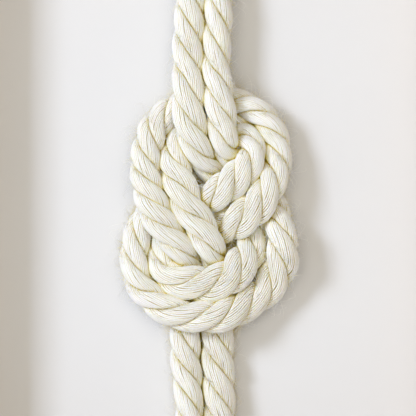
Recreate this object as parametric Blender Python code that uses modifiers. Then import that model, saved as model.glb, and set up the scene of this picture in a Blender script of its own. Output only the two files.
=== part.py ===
"""Sailor's knot board: a doubled figure-eight knot of cotton rope in a deep wooden box frame.

Metres, +Z up, front towards -Y. The board stands on its bottom rail, and the origin is
the centre of the whole object's base.
"""
from math import asin, ceil, cos, pi, radians, sin, sqrt

import bmesh
import bpy
import numpy as np
from mathutils import Matrix, Vector

MM = 0.001

# Sizes of the frame
OPENING_WIDTH = 203.2 * MM
OPENING_HEIGHT = 254.0 * MM
RAIL_WIDTH = 18.0 * MM
RECESS_DEPTH = 33.0 * MM
REBATE_WIDTH = 6.0 * MM
PANEL_THICKNESS = 4.0 * MM
BACKING_THICKNESS = 2.5 * MM
PANEL_PLAY = 0.75 * MM
EDGE_ROUND = 1.2 * MM
PANEL_ROUND = 0.4 * MM

# Clearances
GAP = 0.3 * MM
POCKET_CLEARANCE = 0.3 * MM

# Sizes of the rope and of the pockets that hold its ends
ROPE_DIAMETER = 12.0 * MM
ROPE_PAIR_SPACE = 0.8 * MM
ROUTE_DIAMETER = 12.0 * MM
ROUTE_LIFT = 0.55 * MM
POCKET_DEPTH = 10.0 * MM
POCKET_FLOOR = 2.0 * MM
ROPE_SIDES = 12
RING_SPACING = 6.0 * MM

# Sizes of the corner nails
NAIL_LEG = 5.5 * MM
NAIL_THICKNESS = 0.8 * MM
NAIL_DEPTH = 10.0 * MM
NAIL_SINK = 0.5 * MM

# Sizes of the screws
SHANK_RADIUS = 1.5 * MM
SHANK_LENGTH = 8.0 * MM
POINT_LENGTH = 2.5 * MM
HEAD_RADIUS = 3.0 * MM
HEAD_HEIGHT = 1.5 * MM
SLOT_WIDTH = 0.8 * MM
SLOT_DEPTH = 0.7 * MM

# Sizes of the turn buttons
BUTTON_LENGTH = 26.0 * MM
BUTTON_WIDTH = 9.0 * MM
BUTTON_THICKNESS = 1.2 * MM
BUTTON_ROUND = 0.2 * MM

# Sizes of the hangers and their rings
HANGER_DROP = 75.0 * MM
HANGER_MARGIN = 1.0 * MM
STRAP_WIDTH = 8.0 * MM
STRAP_THICKNESS = 1.4 * MM
STRAP_REACH = 18.0 * MM
KNUCKLE_WALL = 0.7 * MM
WIRE_RADIUS = 0.9 * MM
RING_HALF_WIDTH = 6.0 * MM
RING_REACH = 12.5 * MM
RING_CORNER = 0.8 * MM
RING_POINTS = 15

# Sizes of the wall bumpers
BUMPER_HEIGHT = 4.5 * MM
BUMPER_RADIUS = 5.0 * MM
BUMPER_TIP_RADIUS = 3.8 * MM
BUMPER_INSET = 12.0 * MM

# Places that follow from the sizes
FRAME_DEPTH = RECESS_DEPTH + PANEL_THICKNESS + BACKING_THICKNESS + 2 * GAP
FRONT_Y = -(FRAME_DEPTH + BUMPER_HEIGHT) / 2
BACK_Y = FRONT_Y + FRAME_DEPTH
PANEL_Y = FRONT_Y + RECESS_DEPTH
CENTRE_Z = RAIL_WIDTH + OPENING_HEIGHT / 2
OUTER_WALL = RAIL_WIDTH - REBATE_WIDTH
WALL_MIDDLE = REBATE_WIDTH + OUTER_WALL / 2
ROUTE_SCALE = ROPE_DIAMETER / ROUTE_DIAMETER
END_HEIGHT = POCKET_FLOOR + POCKET_CLEARANCE + ROPE_DIAMETER / 2
PAIR_PITCH = ROPE_DIAMETER + ROPE_PAIR_SPACE
CUTTER_REACH = 60.0 * MM

# Colours
OAK = (0.62, 0.47, 0.31)
WHITE_PAINT = (0.82, 0.82, 0.81)
HARDBOARD = (0.24, 0.13, 0.07)
COTTON = (0.80, 0.76, 0.66)
BRASS = (0.72, 0.52, 0.22)
STEEL = (0.55, 0.55, 0.56)
RUBBER = (0.05, 0.05, 0.05)

# The rope's route: across and up from the knot's middle, height over the panel, all in mm
# for a 12 mm rope, then the width over the rope's diameter and the section's area over the
# free rope's, which is less where the knot squeezes it
LEFT_ROUTE = (
    (-5.5, 92.0, 11.0, 1.00, 0.97), (-6.4, 74.2, 11.6, 1.05, 0.93), (-6.5, 62.2, 12.4, 1.05, 0.90),
    (-6.5, 55.6, 14.8, 1.07, 0.86), (-6.3, 48.9, 15.3, 1.10, 0.80), (-5.3, 37.8, 15.2, 1.11, 0.80),
    (-2.7, 29.8, 13.4, 1.00, 0.80), (0.2, 23.1, 9.4, 0.89, 0.76), (4.9, 17.3, 5.3, 0.89, 0.74),
    (12.1, 9.1, 4.8, 0.90, 0.74), (19.0, 0.0, 4.8, 0.93, 0.76), (22.9, -9.0, 5.2, 0.95, 0.77),
    (21.3, -16.3, 8.2, 1.08, 0.78), (17.2, -23.3, 13.2, 1.22, 0.78), (11.7, -29.0, 14.6, 1.23, 0.78),
    (3.9, -31.8, 14.4, 1.27, 0.78), (-4.2, -31.9, 14.3, 1.22, 0.78), (-12.0, -30.2, 13.0, 1.10, 0.78),
    (-17.3, -25.8, 9.2, 0.98, 0.78), (-18.4, -20.3, 6.0, 0.92, 0.77), (-17.6, -15.1, 4.7, 0.97, 0.76),
    (-14.2, -9.9, 4.4, 1.00, 0.75), (-7.3, -7.9, 4.4, 0.98, 0.75), (0.2, -7.9, 4.5, 1.07, 0.75),
    (6.0, -7.3, 5.0, 1.15, 0.76), (11.1, -6.2, 8.4, 1.19, 0.76), (15.6, -4.1, 13.0, 1.22, 0.78),
    (20.1, -0.9, 14.2, 1.25, 0.80), (25.0, 3.8, 14.6, 1.18, 0.80), (29.7, 11.2, 14.4, 1.05, 0.80),
    (33.0, 20.3, 10.2, 0.98, 0.86), (33.3, 29.6, 8.2, 0.92, 0.88), (29.5, 39.3, 8.0, 0.91, 0.90),
    (21.0, 46.9, 7.2, 0.90, 0.88), (12.4, 49.6, 5.3, 0.92, 0.80), (3.2, 50.0, 4.9, 0.95, 0.80),
    (-5.5, 49.3, 4.9, 0.96, 0.80), (-12.3, 46.4, 5.4, 0.96, 0.82), (-17.4, 42.6, 6.8, 0.96, 0.88),
    (-21.4, 37.4, 7.8, 1.02, 0.90), (-24.0, 31.3, 8.8, 1.02, 0.90), (-25.3, 24.4, 9.8, 1.02, 0.90),
    (-25.4, 17.8, 11.0, 1.04, 0.88), (-24.5, 11.4, 12.6, 1.05, 0.86), (-22.6, 4.8, 14.2, 1.10, 0.84),
    (-19.6, -2.6, 14.6, 1.11, 0.80), (-15.6, -8.9, 14.2, 1.04, 0.80), (-12.2, -12.9, 13.6, 1.00, 0.78),
    (-8.5, -17.5, 11.2, 0.92, 0.78), (-6.1, -21.8, 6.6, 0.92, 0.78), (-5.5, -26.7, 5.0, 0.98, 0.80),
    (-5.8, -32.0, 4.8, 1.02, 0.82), (-6.4, -39.1, 4.9, 1.04, 0.82), (-6.9, -48.0, 4.9, 1.04, 0.82),
    (-7.7, -55.6, 5.7, 1.04, 0.90), (-7.6, -64.9, 5.7, 1.03, 0.95), (-6.4, -77.8, 6.0, 0.98, 0.97),
    (-5.8, -92.0, 7.0, 0.94, 0.97),
)
RIGHT_ROUTE = (
    (7.2, 92.0, 11.0, 0.96, 0.95), (6.4, 74.2, 11.6, 0.96, 0.93), (6.1, 62.2, 12.4, 0.96, 0.90),
    (6.9, 55.6, 14.6, 0.98, 0.84), (7.5, 48.9, 15.4, 1.02, 0.80), (8.9, 37.8, 15.0, 1.02, 0.78),
    (9.6, 32.0, 13.7, 0.92, 0.78), (11.1, 26.9, 8.7, 0.87, 0.76), (15.4, 22.0, 5.2, 0.87, 0.73),
    (22.0, 15.6, 4.8, 0.90, 0.74), (28.3, 8.0, 4.8, 0.92, 0.78), (32.5, 0.4, 5.9, 0.95, 0.84),
    (34.4, -7.6, 11.0, 0.98, 0.86), (35.6, -15.2, 13.2, 1.06, 0.88), (35.4, -22.2, 11.2, 1.13, 0.88),
    (32.5, -28.5, 8.8, 1.14, 0.88), (28.1, -34.8, 8.0, 1.13, 0.86), (21.5, -39.7, 9.4, 1.12, 0.84),
    (14.5, -43.8, 12.9, 1.12, 0.82), (6.9, -46.3, 14.8, 1.11, 0.80), (-1.1, -46.4, 14.8, 1.07, 0.80),
    (-9.1, -45.8, 14.8, 1.04, 0.80), (-16.5, -43.0, 13.0, 1.04, 0.84), (-22.1, -38.7, 11.2, 1.00, 0.86),
    (-27.1, -33.7, 9.4, 0.97, 0.88), (-29.5, -27.8, 8.2, 0.95, 0.90), (-30.4, -21.8, 7.0, 0.96, 0.90),
    (-30.2, -16.0, 6.0, 0.97, 0.88), (-28.9, -10.2, 5.3, 0.97, 0.84), (-25.9, -3.8, 4.8, 1.00, 0.80),
    (-20.0, 1.3, 4.6, 1.00, 0.76), (-13.1, 3.7, 4.6, 0.98, 0.76), (-7.3, 4.6, 4.6, 0.98, 0.76),
    (-2.4, 5.0, 5.1, 1.05, 0.76), (2.2, 5.8, 8.7, 1.04, 0.74), (6.2, 7.8, 13.2, 1.07, 0.76),
    (10.0, 10.8, 14.5, 1.15, 0.78), (14.4, 14.5, 14.6, 1.15, 0.78), (19.0, 19.3, 14.6, 1.08, 0.78),
    (22.0, 24.5, 13.6, 0.94, 0.80), (21.7, 30.2, 10.2, 0.88, 0.82), (18.5, 35.0, 6.2, 0.90, 0.82),
    (13.4, 37.8, 5.0, 0.90, 0.77), (6.0, 38.1, 4.8, 0.95, 0.80), (-1.6, 37.5, 4.8, 0.96, 0.80),
    (-7.6, 34.9, 4.9, 0.96, 0.80), (-11.4, 29.8, 6.2, 0.96, 0.83), (-12.8, 23.8, 8.8, 1.00, 0.86),
    (-11.8, 17.8, 11.4, 1.10, 0.84), (-9.6, 11.3, 14.0, 1.13, 0.80), (-6.9, 3.2, 14.7, 1.11, 0.78),
    (-2.3, -4.0, 14.5, 1.11, 0.78), (1.5, -10.9, 14.0, 1.07, 0.78), (3.7, -16.0, 12.4, 0.97, 0.78),
    (5.5, -20.3, 7.9, 0.92, 0.78), (6.7, -24.8, 5.2, 0.97, 0.80), (7.5, -30.7, 4.8, 1.02, 0.82),
    (7.3, -39.1, 4.9, 1.07, 0.82), (6.9, -48.0, 4.9, 1.08, 0.82), (6.7, -55.6, 5.8, 1.08, 0.92),
    (6.9, -64.9, 5.6, 1.09, 0.95), (7.3, -78.2, 5.7, 1.08, 0.97), (7.6, -92.0, 6.2, 1.05, 0.97),
)


def clear_scene():
    for old in list(bpy.data.objects):
        bpy.data.objects.remove(old, do_unlink=True)


def new_collection(name):
    collection = bpy.data.collections.new(name)
    bpy.context.scene.collection.children.link(collection)
    return collection


def principled(name, colour, roughness, metallic=0.0):
    material = bpy.data.materials.new(name)
    material.use_nodes = True
    shader = material.node_tree.nodes["Principled BSDF"]
    shader.inputs["Base Color"].default_value = (*colour, 1.0)
    shader.inputs["Roughness"].default_value = roughness
    shader.inputs["Metallic"].default_value = metallic
    return material


def finish_mesh(name, shape):
    mesh = bpy.data.meshes.new(name)
    shape.to_mesh(mesh)
    shape.free()
    return mesh


def box_mesh(name, size):
    shape = bmesh.new()
    bmesh.ops.create_cube(shape, size=1.0)
    bmesh.ops.scale(shape, vec=size, verts=shape.verts)
    return finish_mesh(name, shape)


def round_mesh(name, radius, height, tip_radius=None, segments=32):
    """A cylinder or cone along local Z, centred on its origin."""
    shape = bmesh.new()
    top = radius if tip_radius is None else tip_radius
    bmesh.ops.create_cone(
        shape, cap_ends=True, segments=segments, radius1=radius, radius2=top, depth=height
    )
    return finish_mesh(name, shape)


def obround_mesh(name, radius, spread, height, along, segments=32):
    """A cylinder whose halves are pulled apart by spread along local X (0) or Y (1)."""
    shape = bmesh.new()
    bmesh.ops.create_cone(
        shape, cap_ends=True, segments=segments, radius1=radius, radius2=radius, depth=height
    )
    half_step = pi / segments
    for vert in shape.verts:
        across, up = vert.co.x, vert.co.y
        vert.co.x = across * cos(half_step) - up * sin(half_step)
        vert.co.y = across * sin(half_step) + up * cos(half_step)
        vert.co[along] += spread / 2 if vert.co[along] > 0 else -spread / 2
    return finish_mesh(name, shape)


def outline_mesh(name, points, thickness):
    """A flat outline, extruded to its thickness and welded into one closed mesh."""
    curve = bpy.data.curves.new(name, "CURVE")
    curve.dimensions = "2D"
    curve.fill_mode = "BOTH"
    curve.extrude = thickness / 2
    spline = curve.splines.new("POLY")
    spline.points.add(len(points) - 1)
    for point, (across, up) in zip(spline.points, points):
        point.co = (across, up, 0.0, 1.0)
    spline.use_cyclic_u = True
    guide = bpy.data.objects.new(name, curve)
    bpy.context.scene.collection.objects.link(guide)
    graph = bpy.context.evaluated_depsgraph_get()
    mesh = bpy.data.meshes.new_from_object(guide.evaluated_get(graph))
    bpy.data.objects.remove(guide, do_unlink=True)
    shape = bmesh.new()
    shape.from_mesh(mesh)
    bmesh.ops.remove_doubles(shape, verts=shape.verts, dist=0.01 * MM)
    bmesh.ops.recalc_face_normals(shape, faces=shape.faces)
    shape.to_mesh(mesh)
    shape.free()
    return mesh


def turned_mesh(name, profile):
    """The open profile of a turned shape, as radius and height pairs from its top down."""
    mesh = bpy.data.meshes.new(name)
    points = [(radius, 0.0, height) for radius, height in profile]
    edges = [(index, index + 1) for index in range(len(points) - 1)]
    mesh.from_pydata(points, edges, [])
    return mesh


def add_part(name, mesh, material, location=(0, 0, 0), rotation=(0, 0, 0), parent=None):
    part = bpy.data.objects.new(name, mesh)
    PARTS.objects.link(part)
    part.data.materials.append(material)
    part.location = location
    part.rotation_euler = rotation
    part.parent = parent
    return part


def add_cutter(name, mesh, location=(0, 0, 0), rotation=(0, 0, 0), parent=None):
    cutter = bpy.data.objects.new(name, mesh)
    CUTTERS.objects.link(cutter)
    cutter.location = location
    cutter.rotation_euler = rotation
    cutter.parent = parent
    cutter.display_type = "WIRE"
    cutter.hide_render = True
    return cutter


def add_seat(name, location, turn=0.0):
    seat = bpy.data.objects.new(name, None)
    PARTS.objects.link(seat)
    seat.location = location
    seat.rotation_euler = (0.0, turn, 0.0)
    return seat


def combine(target, other, operation="DIFFERENCE"):
    modifier = target.modifiers.new(operation.lower() + "_" + other.name, "BOOLEAN")
    modifier.operation = operation
    modifier.solver = "EXACT"
    modifier.object = other


def bevel(target, width, segments):
    modifier = target.modifiers.new("round_edges", "BEVEL")
    modifier.width = width
    modifier.segments = segments
    modifier.limit_method = "ANGLE"


def turn_profile(target, steps=24):
    modifier = target.modifiers.new("turn", "SCREW")
    modifier.steps = steps
    modifier.render_steps = steps
    modifier.use_merge_vertices = True
    modifier.merge_threshold = 0.05 * MM
    modifier.use_smooth_shade = True


def smooth(mesh):
    mesh.shade_smooth()
    mesh.set_sharp_from_angle(angle=radians(35))


def rail_seats():
    """An empty for each rail: X along it, Z away from the opening, at the opening's edge."""
    half_width = OPENING_WIDTH / 2
    half_height = OPENING_HEIGHT / 2
    return {
        "top": (add_seat("seat_top", (0, 0, CENTRE_Z + half_height)), OPENING_WIDTH),
        "right": (add_seat("seat_right", (half_width, 0, CENTRE_Z), pi / 2), OPENING_HEIGHT),
        "bottom": (add_seat("seat_bottom", (0, 0, CENTRE_Z - half_height), pi), OPENING_WIDTH),
        "left": (add_seat("seat_left", (-half_width, 0, CENTRE_Z), -pi / 2), OPENING_HEIGHT),
    }


def make_rail(side, seat, length, wood):
    size = (length + 2 * RAIL_WIDTH + CUTTER_REACH / 4, FRAME_DEPTH, RAIL_WIDTH)
    place = (0, FRONT_Y + FRAME_DEPTH / 2, RAIL_WIDTH / 2)
    rail = add_part("rail_" + side, box_mesh("rail_" + side, size), wood, place, parent=seat)
    bevel(rail, EDGE_ROUND, 2)
    for end in (-1, 1):
        reach = (CUTTER_REACH - GAP) / 2 / sqrt(2)
        middle = (
            end * (length / 2 + RAIL_WIDTH / 2 + reach),
            FRONT_Y + FRAME_DEPTH / 2,
            RAIL_WIDTH / 2 - reach,
        )
        name = "mitre_" + side + ("_start" if end < 0 else "_end")
        block = box_mesh(name, (CUTTER_REACH, FRAME_DEPTH + CUTTER_REACH, CUTTER_REACH))
        combine(rail, add_cutter(name, block, middle, (0, pi / 4, 0), seat))
    return rail


def make_rebate():
    """The step behind the rails' front lips that the panel and the backing board lie in."""
    depth = BACK_Y - PANEL_Y + GAP + CUTTER_REACH
    size = (OPENING_WIDTH + 2 * REBATE_WIDTH, depth, OPENING_HEIGHT + 2 * REBATE_WIDTH)
    place = (0, PANEL_Y - GAP + depth / 2, CENTRE_Z)
    return add_cutter("rebate", box_mesh("rebate", size), place)


def make_boards(paint, fibre):
    for name, thickness, face_y, finish in (
        ("knot_panel", PANEL_THICKNESS, PANEL_Y, paint),
        ("backing_board", BACKING_THICKNESS, PANEL_Y + PANEL_THICKNESS + GAP, fibre),
    ):
        margin = 2 * (REBATE_WIDTH - PANEL_PLAY)
        size = (OPENING_WIDTH + margin, thickness, OPENING_HEIGHT + margin)
        place = (0, face_y + thickness / 2, CENTRE_Z)
        board = add_part(name, box_mesh(name, size), finish, place)
        bevel(board, PANEL_ROUND, 1)


def chevron(leg, thickness):
    step = 1 / sqrt(2)
    return (
        (0, 0),
        (leg * step, leg * step),
        ((leg - thickness) * step, (leg + thickness) * step),
        (0, thickness / step),
        ((thickness - leg) * step, (leg + thickness) * step),
        (-leg * step, leg * step),
    )


def make_corner_nails(rails, metal):
    """A V-shaped nail across the back of each mitre, its point towards the opening."""
    slot_outline = chevron(NAIL_LEG + 2 * GAP, NAIL_THICKNESS + 2 * GAP)
    nail_outline = chevron(NAIL_LEG, NAIL_THICKNESS)
    inset = REBATE_WIDTH + OUTER_WALL / 2 - NAIL_LEG / 2
    depth = NAIL_DEPTH + 2 * GAP
    for across, up, sides in (
        (-1, 1, ("top", "left")),
        (1, 1, ("top", "right")),
        (1, -1, ("bottom", "right")),
        (-1, -1, ("bottom", "left")),
    ):
        corner = (("top" if up > 0 else "bottom") + ("_left" if across < 0 else "_right"))
        place = Vector((
            across * (OPENING_WIDTH / 2 + inset),
            BACK_Y - NAIL_SINK - NAIL_DEPTH / 2,
            CENTRE_Z + up * (OPENING_HEIGHT / 2 + inset),
        ))
        spin = across * (pi / 4 if up > 0 else 3 * pi / 4)
        seat = add_seat("seat_nail_" + corner, place, spin)
        mesh = outline_mesh("corner_nail_" + corner, nail_outline, NAIL_DEPTH)
        add_part("corner_nail_" + corner, mesh, metal, rotation=(pi / 2, 0, 0), parent=seat)
        slot_mesh = outline_mesh("nail_slot_" + corner, slot_outline, depth + NAIL_SINK)
        slot_place = (0, (NAIL_SINK + GAP) / 2, -GAP * sqrt(2))
        slot = add_cutter("nail_slot_" + corner, slot_mesh, slot_place, (pi / 2, 0, 0), seat)
        for side in sides:
            combine(rails[side], slot)


def screw_profile():
    return (
        (0.0, HEAD_HEIGHT),
        (HEAD_RADIUS * 0.55, HEAD_HEIGHT),
        (HEAD_RADIUS * 0.88, HEAD_HEIGHT * 0.78),
        (HEAD_RADIUS, HEAD_HEIGHT * 0.4),
        (HEAD_RADIUS, 0.0),
        (SHANK_RADIUS, 0.0),
        (SHANK_RADIUS, POINT_LENGTH - SHANK_LENGTH),
        (0.0, -SHANK_LENGTH),
    )


def make_screw(name, rail, head_y, across, outward, seat, metal):
    """A screw whose head's underside is at head_y, with its hole in the rail."""
    facing = (-pi / 2, 0, 0)
    place = (across, head_y, outward)
    screw = add_part(name, turned_mesh(name, screw_profile()), metal, place, facing, seat)
    turn_profile(screw)
    slot_size = (3 * HEAD_RADIUS, SLOT_WIDTH, 2 * SLOT_DEPTH)
    slot_place = (across, head_y + HEAD_HEIGHT, outward)
    slot = add_cutter("slot_" + name, box_mesh("slot_" + name, slot_size), slot_place, facing, seat)
    combine(screw, slot)
    hole_depth = head_y - BACK_Y
    reach = SHANK_LENGTH - hole_depth + GAP
    hole_mesh = round_mesh("hole_" + name, SHANK_RADIUS + GAP, 2 * reach, segments=24)
    hole = add_cutter("hole_" + name, hole_mesh, (across, BACK_Y, outward), facing, seat)
    combine(rail, hole)


def make_turn_button(side, seat, rail, metal):
    name = "turn_button_" + side
    spread = BUTTON_LENGTH - BUTTON_WIDTH
    mesh = obround_mesh(name, BUTTON_WIDTH / 2, spread, BUTTON_THICKNESS, 1)
    mesh.transform(Matrix.Translation((0, spread / 2, 0)))
    face_y = BACK_Y + GAP
    place = (0, face_y + BUTTON_THICKNESS / 2, WALL_MIDDLE)
    button = add_part(name, mesh, metal, place, (-pi / 2, 0, 0), seat)
    bevel(button, BUTTON_ROUND, 1)
    bore_mesh = round_mesh("bore_" + name, SHANK_RADIUS + GAP, 4 * BUTTON_THICKNESS, segments=24)
    combine(button, add_cutter("bore_" + name, bore_mesh, place, (-pi / 2, 0, 0), seat))
    head_y = face_y + BUTTON_THICKNESS + GAP
    make_screw("button_screw_" + side, rail, head_y, 0, WALL_MIDDLE, seat, metal)


def ring_outline():
    """The ring's D: a straight bar along X that closes a half ellipse with eased corners."""
    points = [(-RING_HALF_WIDTH + RING_CORNER, 0.0), (RING_HALF_WIDTH - RING_CORNER, 0.0)]
    for index in range(RING_POINTS + 1):
        angle = radians(10) + index * radians(160) / RING_POINTS
        points.append((RING_HALF_WIDTH * cos(angle), RING_REACH * sin(angle)))
    return points


def make_ring(name, seat, axis_y, metal):
    curve = bpy.data.curves.new(name, "CURVE")
    curve.dimensions = "3D"
    curve.bevel_depth = WIRE_RADIUS
    curve.bevel_resolution = 2
    points = ring_outline()
    spline = curve.splines.new("POLY")
    spline.points.add(len(points) - 1)
    for point, (across, reach) in zip(spline.points, points):
        point.co = (across, reach, 0.0, 1.0)
    spline.use_cyclic_u = True
    strap_face = GAP + STRAP_THICKNESS
    lean = asin((strap_face + GAP + WIRE_RADIUS - axis_y) / RING_REACH)
    place = (0, BACK_Y + axis_y, 0)
    return add_part(name, curve, metal, place, (lean - pi / 2, 0, 0), seat)


def make_hanger(side, sign, rail, metal):
    """A folded strap screwed to the rail's back, with a wire ring in its knuckle."""
    knuckle_radius = WIRE_RADIUS + GAP + KNUCKLE_WALL
    axis_y = GAP + knuckle_radius
    top = CENTRE_Z + OPENING_HEIGHT / 2 + RAIL_WIDTH
    across = sign * (OPENING_WIDTH / 2 + REBATE_WIDTH + HANGER_MARGIN + STRAP_WIDTH / 2)
    seat = add_seat("seat_hanger_" + side, (across, 0, top - HANGER_DROP))
    facing = (-pi / 2, 0, 0)
    middle_y = BACK_Y + GAP + STRAP_THICKNESS / 2
    name = "hanger_strap_" + side
    strap_mesh = box_mesh(name, (STRAP_WIDTH, STRAP_REACH, STRAP_THICKNESS))
    strap = add_part(name, strap_mesh, metal, (0, middle_y, -STRAP_REACH / 2), facing, seat)
    tip_mesh = round_mesh("tip_" + name, STRAP_WIDTH / 2, STRAP_THICKNESS)
    tip = add_cutter("tip_" + name, tip_mesh, (0, middle_y, -STRAP_REACH), facing, seat)
    combine(strap, tip, "UNION")
    lying = (0, pi / 2, 0)
    axis = (0, BACK_Y + axis_y, 0)
    knuckle_mesh = round_mesh("knuckle_" + name, knuckle_radius, STRAP_WIDTH, segments=20)
    combine(strap, add_cutter("knuckle_" + name, knuckle_mesh, axis, lying, seat), "UNION")
    bore_mesh = round_mesh("bore_" + name, WIRE_RADIUS + GAP, 2 * STRAP_WIDTH, segments=20)
    combine(strap, add_cutter("bore_" + name, bore_mesh, axis, lying, seat))
    hole_mesh = round_mesh("way_" + name, SHANK_RADIUS + GAP, 4 * STRAP_THICKNESS, segments=24)
    combine(strap, add_cutter("way_" + name, hole_mesh, (0, middle_y, -STRAP_REACH), facing, seat))
    make_ring("hanger_ring_" + side, seat, axis_y, metal)
    head_y = BACK_Y + GAP + STRAP_THICKNESS + GAP
    make_screw("hanger_screw_" + side, rail, head_y, 0, -STRAP_REACH, seat, metal)


def make_bumper(side, sign, rubber):
    name = "wall_bumper_" + side
    height = BUMPER_HEIGHT - GAP
    mesh = round_mesh(name, BUMPER_RADIUS, height, BUMPER_TIP_RADIUS)
    smooth(mesh)
    across = sign * (OPENING_WIDTH / 2 - BUMPER_INSET)
    place = (across, BACK_Y + GAP + height / 2, RAIL_WIDTH - WALL_MIDDLE)
    add_part(name, mesh, rubber, place, (-pi / 2, 0, 0))


def make_pockets(rails):
    """A blind pocket in the top and the bottom rail for the two ropes' ends."""
    radius = ROPE_DIAMETER / 2 + POCKET_CLEARANCE
    for side, sign in (("top", 1), ("bottom", -1)):
        mesh = obround_mesh("pocket_" + side, radius, PAIR_PITCH, 2 * POCKET_DEPTH, 0)
        place = (0, PANEL_Y - END_HEIGHT, CENTRE_Z + sign * OPENING_HEIGHT / 2)
        combine(rails[side], add_cutter("pocket_" + side, mesh, place))


def whole_route(route, sign):
    """The chosen points in metres, with the straight runs into both rails' pockets."""
    rows = [
        (across * MM * ROUTE_SCALE, up * MM * ROUTE_SCALE, ROUTE_LIFT + height * MM * ROUTE_SCALE,
         width * ROPE_DIAMETER, fullness)
        for across, up, height, width, fullness in route
    ]
    across = sign * PAIR_PITCH / 2
    mouth = OPENING_HEIGHT / 2
    end = mouth + POCKET_DEPTH - GAP
    start_rows = [(across, up, END_HEIGHT, ROPE_DIAMETER, 1.0) for up in (end, mouth)]
    end_rows = [(across, -up, END_HEIGHT, ROPE_DIAMETER, 1.0) for up in (mouth, end)]
    return np.array(start_rows + rows + end_rows)


def smooth_route(rows):
    """Rings along a smooth curve that passes through each of the route's points."""
    chords = np.linalg.norm(np.diff(rows[:, :2], axis=0), axis=1)
    slopes = np.diff(rows, axis=0) / chords[:, None]
    tangents = np.vstack([slopes[:1], slopes[1:], slopes[-1:]])
    weights = chords[:-1, None] + chords[1:, None]
    tangents[1:-1] = (slopes[:-1] * chords[1:, None] + slopes[1:] * chords[:-1, None]) / weights
    rings = []
    for index, chord in enumerate(chords):
        steps = max(2, ceil(chord / RING_SPACING))
        for share in np.arange(steps) / steps:
            rings.append(
                (2 * share**3 - 3 * share**2 + 1) * rows[index]
                + (share**3 - 2 * share**2 + share) * chord * tangents[index]
                + (3 * share**2 - 2 * share**3) * rows[index + 1]
                + (share**3 - share**2) * chord * tangents[index + 1]
            )
    rings.append(rows[-1])
    return np.array(rings)


def rope_sections(rings):
    """Each ring's centre, the directions across and up its oval, and its two radii."""
    centres = np.stack([rings[:, 0], PANEL_Y - rings[:, 2], CENTRE_Z + rings[:, 1]], axis=1)
    along = np.gradient(centres, axis=0)
    along /= np.linalg.norm(along, axis=1)[:, None]
    across = np.stack([along[:, 2], np.zeros(len(along)), -along[:, 0]], axis=1)
    across /= np.linalg.norm(across, axis=1)[:, None]
    up = np.cross(along, across)
    half_width = rings[:, 3] / 2
    half_thickness = rings[:, 4] * ROPE_DIAMETER**2 / 4 / half_width
    return centres, across, up, half_width, half_thickness


def rope_mesh(name, sections):
    centres, across, up, half_width, half_thickness = sections
    angles = np.arange(ROPE_SIDES) * 2 * pi / ROPE_SIDES
    side = np.cos(angles)[None, :, None] * (half_width[:, None] * across)[:, None, :]
    rise = np.sin(angles)[None, :, None] * (half_thickness[:, None] * up)[:, None, :]
    points = (centres[:, None, :] + side + rise).reshape(-1, 3)
    faces = [list(range(ROPE_SIDES))]
    for ring in range(len(centres) - 1):
        base = ring * ROPE_SIDES
        for index in range(ROPE_SIDES):
            following = (index + 1) % ROPE_SIDES
            faces.append([
                base + index,
                base + ROPE_SIDES + index,
                base + ROPE_SIDES + following,
                base + following,
            ])
    last = (len(centres) - 1) * ROPE_SIDES
    faces.append([last + index for index in reversed(range(ROPE_SIDES))])
    mesh = bpy.data.meshes.new(name)
    mesh.from_pydata(points.tolist(), [], faces)
    shape = bmesh.new()
    shape.from_mesh(mesh)
    bmesh.ops.recalc_face_normals(shape, faces=shape.faces)
    shape.to_mesh(mesh)
    shape.free()
    smooth(mesh)
    return mesh


def least_gap(first, second, skip=0.0):
    """The least gap between two ropes' ovals, leaving out rings closer than skip along one."""
    offset = second[0][None] - first[0][:, None]
    distance = np.linalg.norm(offset, axis=2) + 1e-9
    direction = offset / distance[..., None]
    reach = np.zeros_like(distance)
    for rope, letter in ((first, "i"), (second, "j")):
        wide = np.einsum("ijk," + letter + "k->ij", direction, rope[3][:, None] * rope[1])
        tall = np.einsum("ijk," + letter + "k->ij", direction, rope[4][:, None] * rope[2])
        reach += np.sqrt(wide**2 + tall**2)
    gaps = distance - reach
    if skip:
        steps = np.linalg.norm(np.diff(first[0], axis=0), axis=1)
        run = np.concatenate([[0.0], np.cumsum(steps)])
        gaps[np.abs(run[:, None] - run[None]) < skip] = np.inf
    return gaps.min()


def make_ropes(cotton):
    sections = []
    for name, route, sign in (("rope_left", LEFT_ROUTE, -1), ("rope_right", RIGHT_ROUTE, 1)):
        rope = rope_sections(smooth_route(whole_route(route, sign)))
        add_part(name, rope_mesh(name, rope), cotton)
        sections.append(rope)
    left, right = sections
    skip = 2 * ROPE_DIAMETER
    over_panel = min((PANEL_Y - rope[0][:, 1] - rope[4]).min() for rope in sections)
    print("least gap between the ropes, mm:", round(least_gap(left, right) / MM, 2))
    print("least gap of the left rope to itself, mm:", round(least_gap(left, left, skip) / MM, 2))
    print("least gap of the right rope to itself, mm:", round(least_gap(right, right, skip) / MM, 2))
    print("least gap over the panel, mm:", round(over_panel / MM, 2))


def build():
    oak = principled("oak", OAK, 0.55)
    paint = principled("white_paint", WHITE_PAINT, 0.6)
    fibre = principled("hardboard", HARDBOARD, 0.7)
    cotton = principled("cotton_rope", COTTON, 0.95)
    brass = principled("brass", BRASS, 0.32, 1.0)
    steel = principled("zinc_steel", STEEL, 0.35, 1.0)
    rubber = principled("rubber", RUBBER, 0.85)
    rebate = make_rebate()
    seats = rail_seats()
    rails = {}
    for side, (seat, length) in seats.items():
        rails[side] = make_rail(side, seat, length, oak)
        combine(rails[side], rebate)
    make_pockets(rails)
    make_corner_nails(rails, steel)
    for side, (seat, _length) in seats.items():
        make_turn_button(side, seat, rails[side], brass)
    for side, sign in (("left", -1), ("right", 1)):
        make_hanger(side, sign, rails[side], steel)
        make_bumper(side, sign, rubber)
    make_boards(paint, fibre)
    make_ropes(cotton)


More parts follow.
